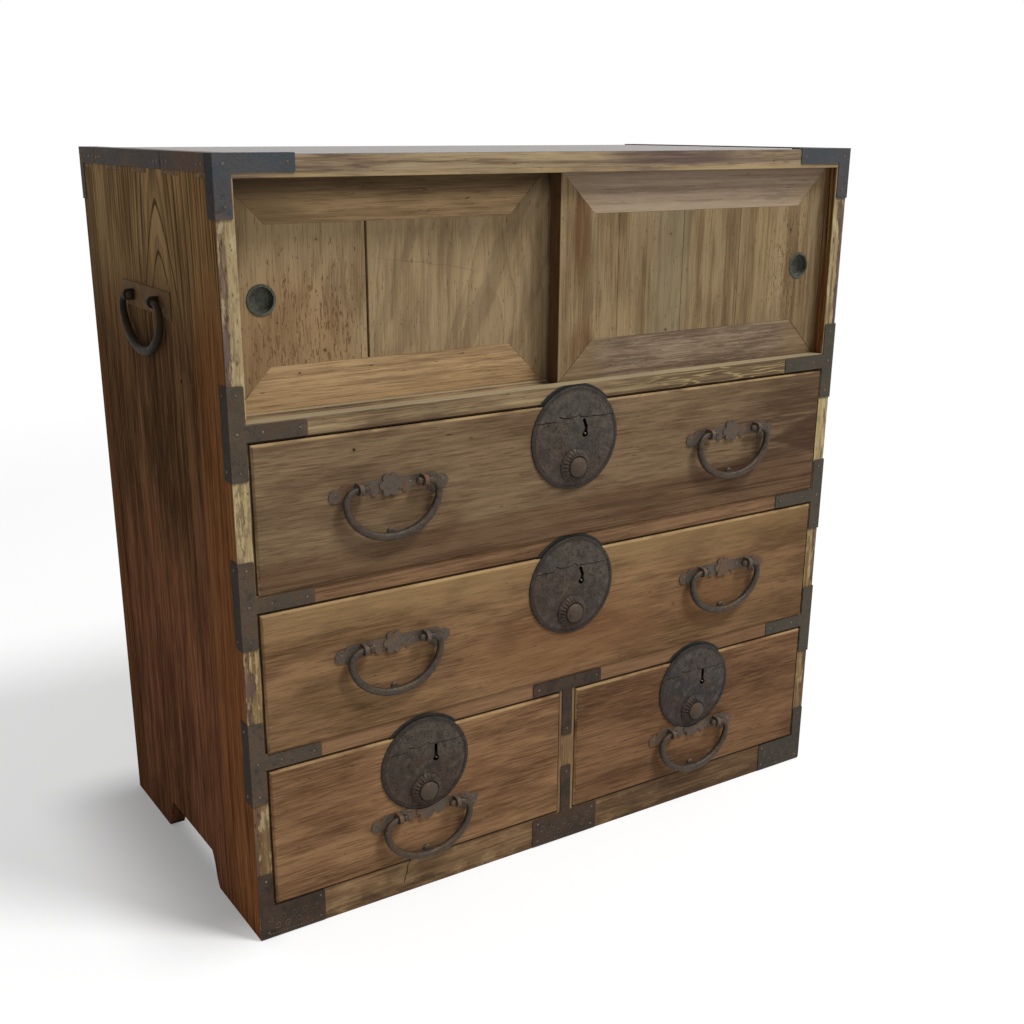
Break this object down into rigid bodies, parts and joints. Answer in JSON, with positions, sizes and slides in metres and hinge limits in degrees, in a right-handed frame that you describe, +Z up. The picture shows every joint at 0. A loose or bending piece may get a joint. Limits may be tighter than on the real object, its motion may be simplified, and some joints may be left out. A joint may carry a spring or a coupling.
{
  "type": "clothing chest",
  "caption": "Low boxy wooden clothing chest with sliding doors over long and short locking drawers, iron straps, bail handles and round lock plates.",
  "frame": {"origin": "on the floor, under the middle of the space that the chest and its fittings take up", "axes": "+X to the chest's right as seen from the front, +Y to the back, +Z up; the drawers open towards -Y"},
  "size_m": [0.9098, 0.4716, 0.8922],
  "materials": {
    "front_wood": "worn, unvarnished, with grey-brown patina",
    "side_wood": "darker red-brown, dry and streaked",
    "top_wood": "grey-brown with a dull sheen",
    "inner_wood": "bare",
    "corner_iron": "blackened, lightly rusted",
    "lock_iron": "blackened, engraved",
    "handle_iron": "forged, rubbed bright on the edges",
    "pull_iron": "dark with a green cast"
  },
  "bodies": {
    "carcass": {"left_side_panel": "side_wood", "right_side_panel": "side_wood", "top_board": "top_wood", "bottom_board": "inner_wood", "back_boards": "inner_wood", "base_rail": "front_wood", "door_sill": "front_wood", "compartment_floor": "inner_wood", "upper_rail": "front_wood", "lower_rail": "front_wood", "dust_boards": "inner_wood", "shelf_cleats": "inner_wood", "centre_partition": "front_wood", "top_corner_brackets": "corner_iron", "top_edge_straps": "corner_iron", "side_t_plates": "corner_iron", "base_corner_plates": "corner_iron", "centre_plates": "corner_iron", "strike_plates": "lock_iron", "side_handle_plates": "handle_iron", "side_handle_eyes": "handle_iron"},
    "left_door": {"left_door_boards": "front_wood", "left_door_battens": "front_wood", "left_door_pull": "pull_iron"},
    "right_door": {"right_door_boards": "front_wood", "right_door_battens": "front_wood", "right_door_pull": "pull_iron"},
    "upper_drawer": {"upper_drawer_front": "front_wood", "upper_drawer_box": "inner_wood", "upper_drawer_bottom": "inner_wood", "upper_drawer_lock": "lock_iron", "upper_drawer_handle_plates": "handle_iron"},
    "upper_drawer_button": {"upper_drawer_button": "lock_iron"},
    "upper_drawer_left_bail": {"upper_drawer_left_bail": "handle_iron"},
    "upper_drawer_right_bail": {"upper_drawer_right_bail": "handle_iron"},
    "middle_drawer": {"middle_drawer_front": "front_wood", "middle_drawer_box": "inner_wood", "middle_drawer_bottom": "inner_wood", "middle_drawer_lock": "lock_iron", "middle_drawer_handle_plates": "handle_iron"},
    "middle_drawer_button": {"middle_drawer_button": "lock_iron"},
    "middle_drawer_left_bail": {"middle_drawer_left_bail": "handle_iron"},
    "middle_drawer_right_bail": {"middle_drawer_right_bail": "handle_iron"},
    "lower_left_drawer": {"lower_left_drawer_front": "front_wood", "lower_left_drawer_box": "inner_wood", "lower_left_drawer_bottom": "inner_wood", "lower_left_drawer_lock": "lock_iron", "lower_left_drawer_handle_plates": "handle_iron"},
    "lower_left_drawer_button": {"lower_left_drawer_button": "lock_iron"},
    "lower_left_drawer_bail": {"lower_left_drawer_bail": "handle_iron"},
    "lower_right_drawer": {"lower_right_drawer_front": "front_wood", "lower_right_drawer_box": "inner_wood", "lower_right_drawer_bottom": "inner_wood", "lower_right_drawer_lock": "lock_iron", "lower_right_drawer_handle_plates": "handle_iron"},
    "lower_right_drawer_button": {"lower_right_drawer_button": "lock_iron"},
    "lower_right_drawer_bail": {"lower_right_drawer_bail": "handle_iron"},
    "left_side_bail": {"left_side_bail": "handle_iron"},
    "right_side_bail": {"right_side_bail": "handle_iron"}
  },
  "joints": [
    {"name": "left_door_slide", "type": "slide", "parent": "carcass", "child": "left_door", "axis": [1, 0, 0], "range_m": [0, 0.4245]},
    {"name": "right_door_slide", "type": "slide", "parent": "carcass", "child": "right_door", "axis": [-1, 0, 0], "range_m": [0, 0.4065]},
    {"name": "upper_drawer_slide", "type": "slide", "parent": "carcass", "child": "upper_drawer", "axis": [0, -1, 0], "range_m": [0, 0.33]},
    {"name": "upper_drawer_button_press", "type": "slide", "parent": "upper_drawer", "child": "upper_drawer_button", "axis": [0, 1, 0], "range_m": [0, 0.003], "stiffness_N_per_m": 400},
    {"name": "upper_drawer_left_bail_hinge", "type": "hinge", "parent": "upper_drawer", "child": "upper_drawer_left_bail", "pos_m": [-0.25599, -0.2294, 0.5365], "axis": [-1, 0, 0], "range_deg": [0, 175]},
    {"name": "upper_drawer_right_bail_hinge", "type": "hinge", "parent": "upper_drawer", "child": "upper_drawer_right_bail", "pos_m": [0.25599, -0.2294, 0.5365], "axis": [-1, 0, 0], "range_deg": [0, 175]},
    {"name": "middle_drawer_slide", "type": "slide", "parent": "carcass", "child": "middle_drawer", "axis": [0, -1, 0], "range_m": [0, 0.33]},
    {"name": "middle_drawer_button_press", "type": "slide", "parent": "middle_drawer", "child": "middle_drawer_button", "axis": [0, 1, 0], "range_m": [0, 0.003], "stiffness_N_per_m": 400},
    {"name": "middle_drawer_left_bail_hinge", "type": "hinge", "parent": "middle_drawer", "child": "middle_drawer_left_bail", "pos_m": [-0.25599, -0.2294, 0.3455], "axis": [-1, 0, 0], "range_deg": [0, 175]},
    {"name": "middle_drawer_right_bail_hinge", "type": "hinge", "parent": "middle_drawer", "child": "middle_drawer_right_bail", "pos_m": [0.25599, -0.2294, 0.3455], "axis": [-1, 0, 0], "range_deg": [0, 175]},
    {"name": "lower_left_drawer_slide", "type": "slide", "parent": "carcass", "child": "lower_left_drawer", "axis": [0, -1, 0], "range_m": [0, 0.33]},
    {"name": "lower_left_drawer_button_press", "type": "slide", "parent": "lower_left_drawer", "child": "lower_left_drawer_button", "axis": [0, 1, 0], "range_m": [0, 0.003], "stiffness_N_per_m": 400},
    {"name": "lower_left_drawer_bail_hinge", "type": "hinge", "parent": "lower_left_drawer", "child": "lower_left_drawer_bail", "pos_m": [-0.216, -0.2294, 0.113], "axis": [-1, 0, 0], "range_deg": [0, 175]},
    {"name": "lower_right_drawer_slide", "type": "slide", "parent": "carcass", "child": "lower_right_drawer", "axis": [0, -1, 0], "range_m": [0, 0.33]},
    {"name": "lower_right_drawer_button_press", "type": "slide", "parent": "lower_right_drawer", "child": "lower_right_drawer_button", "axis": [0, 1, 0], "range_m": [0, 0.003], "stiffness_N_per_m": 400},
    {"name": "lower_right_drawer_bail_hinge", "type": "hinge", "parent": "lower_right_drawer", "child": "lower_right_drawer_bail", "pos_m": [0.216, -0.2294, 0.113], "axis": [-1, 0, 0], "range_deg": [0, 175]},
    {"name": "left_side_bail_hinge", "type": "hinge", "parent": "carcass", "child": "left_side_bail", "pos_m": [-0.4485, 0.01764, 0.729], "axis": [0, 1, 0], "range_deg": [0, 175]},
    {"name": "right_side_bail_hinge", "type": "hinge", "parent": "carcass", "child": "right_side_bail", "pos_m": [0.4485, 0.01764, 0.729], "axis": [0, -1, 0], "range_deg": [0, 175]}
  ]
}
